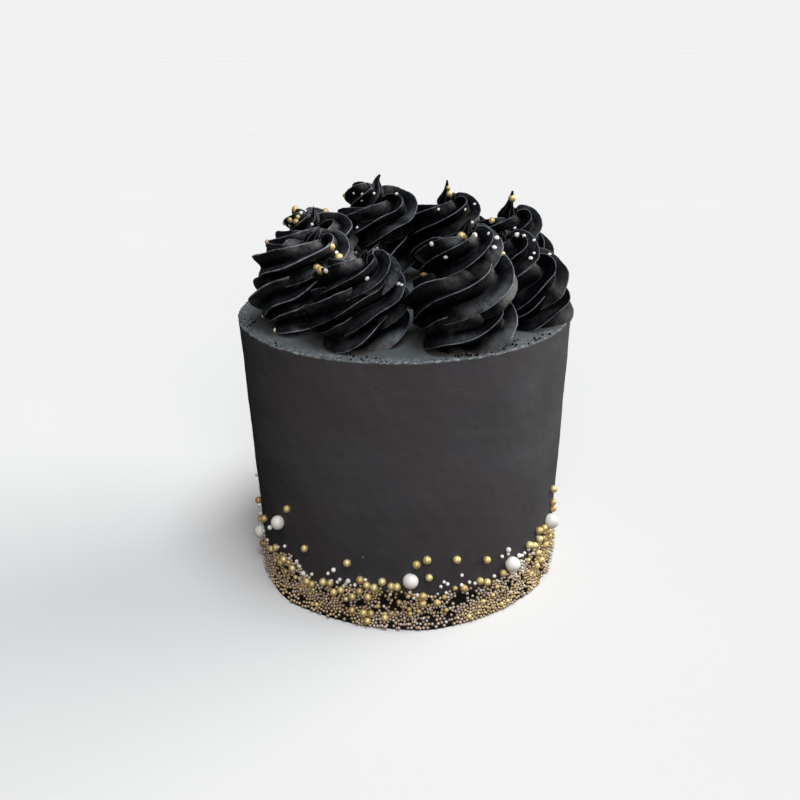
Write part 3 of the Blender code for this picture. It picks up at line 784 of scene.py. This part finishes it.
def sugar_bead(name, low, high, metal, roughness, coat):
    """A pressed sugar ball under a lustre: each bead has a tone of its own, mottled a little."""
    made, tree = new_material(name)
    place = add(tree, "ShaderNodeTexCoord").outputs["Object"]
    tone = add(tree, "ShaderNodeAttribute", attribute_name="tone")
    clouds = add(tree, "ShaderNodeTexNoise", {
        "Vector": place, "Scale": 700.0, "Detail": 2.0, "Roughness": 0.5})
    mixed = add(tree, "ShaderNodeMath", {0: clouds.outputs["Fac"], 1: 0.5, 2: tone.outputs["Fac"]},
                operation="MULTIPLY_ADD")
    share = add(tree, "ShaderNodeMapRange", {
        "Value": mixed.outputs["Value"], "From Min": 0.2, "From Max": 1.3})
    colour = add(tree, "ShaderNodeMix", {
        "Factor": share.outputs["Result"], 6: linear(low), 7: linear(high)}, data_type="RGBA")
    bump = add(tree, "ShaderNodeBump", {
        "Height": clouds.outputs["Fac"], "Strength": 0.3, "Distance": 0.0002})
    close_material(tree, {
        "Base Color": colour.outputs[2], "Metallic": metal, "Roughness": roughness,
        "Coat Weight": coat, "Coat Roughness": 0.25, "Normal": bump.outputs["Normal"]})
    return made


def add_wall_beads(coat, places, draw):
    """Adds the band's larger beads to the places, and returns the angle, height and size of each.

    Those that the picture shows are repeated half round. The strays lie at random.
    """
    wall = tree_of([coat])
    found = []
    for kind, spots in SEEN_ON_WALL.items():
        diameter, _, sunk = BEADS[kind]
        out = (0.5 - sunk) * diameter
        x, y, z = np.array([seen_at(wall, across, down, out) for across, down in spots]).T
        near = np.degrees(np.arctan2(y, x))
        found.append((kind, np.concatenate([near, near + 180]), np.concatenate([z, z])))
    for kind, count, low, high in STRAY_BEADS:
        angles = draw.uniform(-180, 180, count)
        found.append((kind, angles, draw.uniform(low, high, count) * band_at(BAND_TOPS, angles)))
    taken = []
    for kind, angles, heights in found:
        diameter = BEADS[kind][0]
        heights = np.maximum(heights, LOWEST * diameter)
        places[kind] += list(on_wall(kind, angles, heights))
        taken += [(angle, height, diameter) for angle, height in zip(angles, heights)]
    return np.array(taken)


def nonpareil_places(taken, draw):
    """Centres of the nonpareils: those that settled, and then those perched on them."""
    angles, heights = settle_band(taken)
    diameter = BEADS["nonpareil"][0]
    lower = np.flatnonzero(heights < PERCHED_BELOW * band_at(BAND_TOPS, angles))
    perched = draw.choice(lower, PERCHED, replace=False)
    settled = on_wall("nonpareil", angles, heights)
    angles = angles[perched] + PERCHED_ROUND
    raised = on_wall("nonpareil", angles, heights[perched] + PERCHED_UP * diameter)
    raised[:, :2] *= 1 + PERCHED_OUT * diameter / BOTTOM_RADIUS
    return np.concatenate([settled, raised])


def add_swirl_beads(swirls, places):
    """Adds the beads on the swirls to the places, and half round those that wouldn't show."""
    tree = tree_of(swirls)
    for kind, spots in SEEN_BEADS.items():
        diameter = BEADS[kind][0]
        out = (0.5 - SUNK_ON_SWIRL) * diameter
        for across, down in spots:
            for half_round in (False, True):
                centre = seen_at(tree, across, down, out, half_round)
                if not (half_round and in_sight(tree, centre, 0.5 * diameter)):
                    places[kind].append(np.array(centre))


def make_beads(coat, swirls):
    """Every bead, one piece a kind. The nonpareils change in tone from stretch to stretch."""
    draw = np.random.default_rng(SEED + 3)
    places = {kind: [] for kind in BEADS}
    taken = add_wall_beads(coat, places, draw)
    nonpareils = nonpareil_places(taken, draw)
    add_swirl_beads(swirls, places)

    gold = sugar_bead("gold_lustre_on_sugar", "#b69b5e", "#dfcb90", 0.45, 0.48, 0.1)
    white = sugar_bead("pearl_lustre_on_sugar", "#d2cec6", "#eae6de", 0.0, 0.45, 0.2)
    champagne = sugar_bead("champagne_lustre_on_sugar", "#9a8460", "#ccb68a", 0.4, 0.46, 0.1)
    rose = sugar_bead("rose_silver_lustre_on_sugar", "#9e8a7c", "#ccb8a8", 0.4, 0.46, 0.1)
    silver = sugar_bead("silver_lustre_on_sugar", "#a29e96", "#cecac0", 0.4, 0.46, 0.1)
    looks = {
        "pearl": (white, "pearls"), "gold": (gold, "gold_beads"), "small_gold": (gold, "gold_beads"),
        "white": (white, "pearls"), "small_white": (white, "pearls"),
    }
    for number, (kind, (surface, slot)) in enumerate(looks.items()):
        diameter, divisions, _ = BEADS[kind]
        centres = np.array(places[kind])
        radii = 0.5 * diameter * draw.uniform(0.9, 1.0, len(centres))
        bead_piece(kind + "_beads", centres, radii, divisions, surface, slot, 60 + number)

    diameter, divisions, _ = BEADS["nonpareil"]
    radii = 0.5 * diameter * draw.uniform(0.76, 0.98, len(nonpareils))
    drift = ripple(nonpareils, 45.0, SEED + 5) + 0.5 * draw.normal(size=len(nonpareils))
    kinds = (("champagne", champagne, drift < 0.1), ("rose", rose, (drift >= 0.1) & (drift < 0.9)),
             ("silver", silver, drift >= 0.9))
    for number, (name, surface, chosen) in enumerate(kinds):
        bead_piece(name + "_nonpareils", nonpareils[chosen], radii[chosen], divisions, surface,
                   "nonpareils", 70 + number)


def make_crumbs(surface):
    """Crumbs of black icing left on the top near its rim, thicker in some stretches than others."""
    draw = np.random.default_rng(SEED + 9)
    turn = draw.uniform(0, 2 * math.pi, CRUMBS)
    radius = TOP_RADIUS - CRUMB_EDGE - CRUMB_BELT * draw.uniform(0, 1, CRUMBS) ** 1.7
    centres = np.stack([radius * np.cos(turn), radius * np.sin(turn), 0 * turn + CAKE_HEIGHT + 0.1], -1)
    centres = centres[ripple(centres, 40.0, SEED + 10) > -0.1]
    radii = 0.5 * draw.uniform(0.5, 1.3, len(centres))
    bead_piece("icing_crumbs", centres, radii, 1, surface, "icing", 80)


def make_floor():
    """A wide floor, pale to the camera and dark to the light that would rise from it."""
    mesh = bpy.data.meshes.new("floor")
    corners = [(FLOOR_HALF * x, FLOOR_HALF * y, 0) for x, y in ((-1, -1), (1, -1), (1, 1), (-1, 1))]
    mesh.from_pydata(corners, [], [(0, 1, 2, 3)])
    floor = bpy.data.objects.new("floor", mesh)
    bpy.context.scene.collection.objects.link(floor)
    made, tree = new_material("pale_floor")
    place = add(tree, "ShaderNodeTexCoord").outputs["Object"]
    clouds = add(tree, "ShaderNodeTexNoise", {"Vector": place, "Scale": 3.0, "Detail": 2.0})
    pale = add(tree, "ShaderNodeMix", {
        "Factor": clouds.outputs["Fac"], 6: linear("#d0cdca"), 7: linear("#d4d1ce")},
        data_type="RGBA")
    seen = add(tree, "ShaderNodeLightPath").outputs["Is Camera Ray"]
    colour = add(tree, "ShaderNodeMix", {
        "Factor": seen, 6: linear("#2e2e2e"), 7: pale.outputs[2]}, data_type="RGBA")
    close_material(tree, {
        "Base Color": colour.outputs[2], "Roughness": 0.6, "Specular IOR Level": 0.0})
    mesh.materials.append(made)


def soft_light(name, round_from_front, up, spread, strength, colour):
    """A broad distant light: its angle round from the front, its height and its breadth."""
    light = bpy.data.lights.new(name, "SUN")
    light.angle = math.radians(spread)
    light.energy = strength
    light.color = linear(colour)[:3]
    lamp = bpy.data.objects.new(name, light)
    turn, rise = math.radians(round_from_front), math.radians(up)
    way = Vector((math.sin(turn) * math.cos(rise), -math.cos(turn) * math.cos(rise), math.sin(rise)))
    lamp.rotation_euler = (-way).to_track_quat("-Z", "Y").to_euler()
    bpy.context.scene.collection.objects.link(lamp)


def make_lights():
    """Soft studio light, strongest from the right, with a pale surround."""
    for light in LIGHTS:
        soft_light(*light)
    world = bpy.data.worlds.new("pale_surround")
    world.use_nodes = True
    tree = world.node_tree
    tree.nodes.clear()
    seen = add(tree, "ShaderNodeLightPath").outputs["Is Camera Ray"]
    strength = add(tree, "ShaderNodeMapRange", {"Value": seen, "To Min": 0.04, "To Max": 0.88})
    surround = add(tree, "ShaderNodeBackground", {
        "Color": linear("#ffffff"), "Strength": strength.outputs["Result"]})
    add(tree, "ShaderNodeOutputWorld", {"Surface": surround.outputs["Background"]})
    bpy.context.scene.world = world
    bpy.context.scene.view_settings.view_transform = "Standard"


def make_camera():
    """The picture's view: a little to the left of the middle, looking down on the swirls."""
    place, right, above, ahead = view_axes()
    lens = bpy.data.cameras.new("camera")
    lens.sensor_width = SENSOR
    lens.lens = SENSOR * FOCAL / PICTURE
    lens.clip_start = 0.01
    camera = bpy.data.objects.new("camera", lens)
    turn = Matrix((right, above, -ahead)).transposed().to_4x4()
    camera.matrix_world = Matrix.Translation(place * MM) @ turn
    bpy.context.scene.collection.objects.link(camera)
    bpy.context.scene.camera = camera


make_camera()
make_lights()
make_floor()
coat = make_coat(smoothed_buttercream())
piping = piped_buttercream()
swirls = [make_swirl(number, swirl, piping) for number, swirl in enumerate(SWIRLS)]
make_beads(coat, swirls)
make_crumbs(piping)
